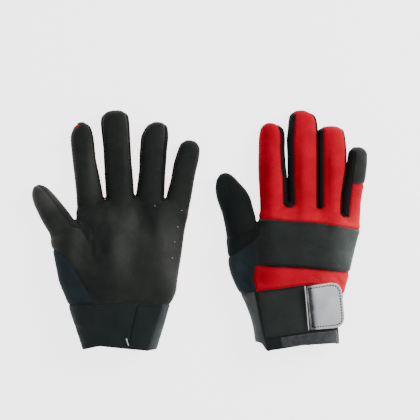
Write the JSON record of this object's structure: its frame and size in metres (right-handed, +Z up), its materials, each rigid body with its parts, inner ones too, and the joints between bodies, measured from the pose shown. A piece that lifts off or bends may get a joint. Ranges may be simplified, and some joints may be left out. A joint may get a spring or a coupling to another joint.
{
  "type": "riding gloves",
  "caption": "Pair of short-cuff riding gloves with stretch backs, padded knuckle bands, leather palms, slotted fourchettes and pull-tab wrist straps.",
  "frame": {"origin": "middle of the pair's footprint, on the plane that both gloves lie on", "axes": "+X from the left glove to the right one, +Y from the cuffs to the fingertips, +Z up from the plane"},
  "size_m": [0.3365, 0.2398, 0.0448],
  "materials": {
    "red_stretch": "matte",
    "palm_leather": "satin",
    "navy_stretch": "matte",
    "black_mesh": "matte",
    "knuckle_leather": "satin",
    "foam": "matte",
    "grey_tip": "satin",
    "neoprene": "matte",
    "loop_fabric": "matte",
    "hook_plastic": "matte",
    "grey_tab": "satin"
  },
  "bodies": {
    "left_hand": {"left_palm_panel": "palm_leather", "left_back_panel": "red_stretch", "left_lower_back_panel": "red_stretch", "left_knuckle_foam": "foam", "left_knuckle_cover": "knuckle_leather", "left_thumb_gusset": "navy_stretch", "left_cuff_back": "neoprene", "left_cuff_palm": "neoprene", "left_loop_patch": "loop_fabric", "left_wrist_strap": "neoprene", "left_strap_anchor": "neoprene"},
    "left_index_digit": {"left_index_palm": "palm_leather", "left_index_back": "red_stretch", "left_index_fourchette_little_side": "black_mesh"},
    "left_middle_digit": {"left_middle_palm": "palm_leather", "left_middle_back": "red_stretch", "left_middle_fourchette_little_side": "black_mesh", "left_middle_fourchette_thumb_side": "black_mesh"},
    "left_ring_digit": {"left_ring_palm": "palm_leather", "left_ring_back": "red_stretch", "left_ring_fourchette_little_side": "black_mesh", "left_ring_fourchette_thumb_side": "black_mesh"},
    "left_little_digit": {"left_little_palm": "palm_leather", "left_little_back": "red_stretch", "left_little_tip_panel": "grey_tip", "left_little_fourchette_thumb_side": "black_mesh"},
    "left_thumb_digit": {"left_thumb_palm": "palm_leather", "left_thumb_back": "black_mesh"},
    "left_tab": {"left_pull_tab": "grey_tab", "left_hook_patch": "hook_plastic"},
    "right_hand": {"right_palm_panel": "palm_leather", "right_back_panel": "red_stretch", "right_lower_back_panel": "red_stretch", "right_knuckle_foam": "foam", "right_knuckle_cover": "knuckle_leather", "right_thumb_gusset": "navy_stretch", "right_cuff_back": "neoprene", "right_cuff_palm": "neoprene", "right_loop_patch": "loop_fabric", "right_wrist_strap": "neoprene", "right_strap_anchor": "neoprene"},
    "right_index_digit": {"right_index_palm": "palm_leather", "right_index_back": "red_stretch", "right_index_fourchette_little_side": "black_mesh"},
    "right_middle_digit": {"right_middle_palm": "palm_leather", "right_middle_back": "red_stretch", "right_middle_fourchette_little_side": "black_mesh", "right_middle_fourchette_thumb_side": "black_mesh"},
    "right_ring_digit": {"right_ring_palm": "palm_leather", "right_ring_back": "red_stretch", "right_ring_fourchette_little_side": "black_mesh", "right_ring_fourchette_thumb_side": "black_mesh"},
    "right_little_digit": {"right_little_palm": "palm_leather", "right_little_back": "red_stretch", "right_little_tip_panel": "grey_tip", "right_little_fourchette_thumb_side": "black_mesh"},
    "right_thumb_digit": {"right_thumb_palm": "palm_leather", "right_thumb_back": "black_mesh"},
    "right_tab": {"right_pull_tab": "grey_tab", "right_hook_patch": "hook_plastic"}
  },
  "joints": [
    {"name": "left_index_fold", "type": "hinge", "parent": "left_hand", "child": "left_index_digit", "pos_m": [-0.1092, 0.03, 0.0198], "axis": [0.9895, 0.1444, 0], "range_deg": [0, 85]},
    {"name": "left_middle_fold", "type": "hinge", "parent": "left_hand", "child": "left_middle_digit", "pos_m": [-0.0804, 0.033, 0.0208], "axis": [0.9978, 0.0663, 0], "range_deg": [0, 85]},
    {"name": "left_ring_fold", "type": "hinge", "parent": "left_hand", "child": "left_ring_digit", "pos_m": [-0.0503, 0.0325, 0.0198], "axis": [0.9969, -0.0785, 0], "range_deg": [0, 85]},
    {"name": "left_little_fold", "type": "hinge", "parent": "left_hand", "child": "left_little_digit", "pos_m": [-0.0235, 0.029, 0.0178], "axis": [0.9755, -0.2198, 0], "range_deg": [0, 85]},
    {"name": "left_thumb_fold", "type": "hinge", "parent": "left_hand", "child": "left_thumb_digit", "pos_m": [-0.136, 0.001, 0.0228], "axis": [0.8572, 0.515, 0], "range_deg": [0, 55]},
    {"name": "left_tab_peel", "type": "hinge", "parent": "left_hand", "child": "left_tab", "pos_m": [-0.076, -0.078, 0], "axis": [-0.0523, 0.9986, 0], "range_deg": [0, 150]},
    {"name": "right_glove_lift", "type": "slide", "parent": "left_hand", "child": "right_hand", "axis": [0, 0, 1], "range_m": [0, 0.15]},
    {"name": "right_index_fold", "type": "hinge", "parent": "right_hand", "child": "right_index_digit", "pos_m": [0.0739, 0.0225, -0.0002], "axis": [-1, -0.0052, 0], "range_deg": [0, 85]},
    {"name": "right_middle_fold", "type": "hinge", "parent": "right_hand", "child": "right_middle_digit", "pos_m": [0.1033, 0.0225, -0.0002], "axis": [-1, 0, 0], "range_deg": [0, 85]},
    {"name": "right_ring_fold", "type": "hinge", "parent": "right_hand", "child": "right_ring_digit", "pos_m": [0.132, 0.0225, -0.0002], "axis": [-0.9998, -0.0209, 0], "range_deg": [0, 85]},
    {"name": "right_little_fold", "type": "hinge", "parent": "right_hand", "child": "right_little_digit", "pos_m": [0.154, 0.013, -0.0002], "axis": [-0.9971, 0.0767, 0], "range_deg": [0, 85]},
    {"name": "right_thumb_fold", "type": "hinge", "parent": "right_hand", "child": "right_thumb_digit", "pos_m": [0.0412, 0.001, -0.0002], "axis": [-0.9664, -0.2571, 0], "range_deg": [0, 55]},
    {"name": "right_tab_peel", "type": "hinge", "parent": "right_hand", "child": "right_tab", "pos_m": [0.1066, -0.0772, 0.0426], "axis": [0.0958, -0.9954, 0], "range_deg": [0, 150]}
  ]
}
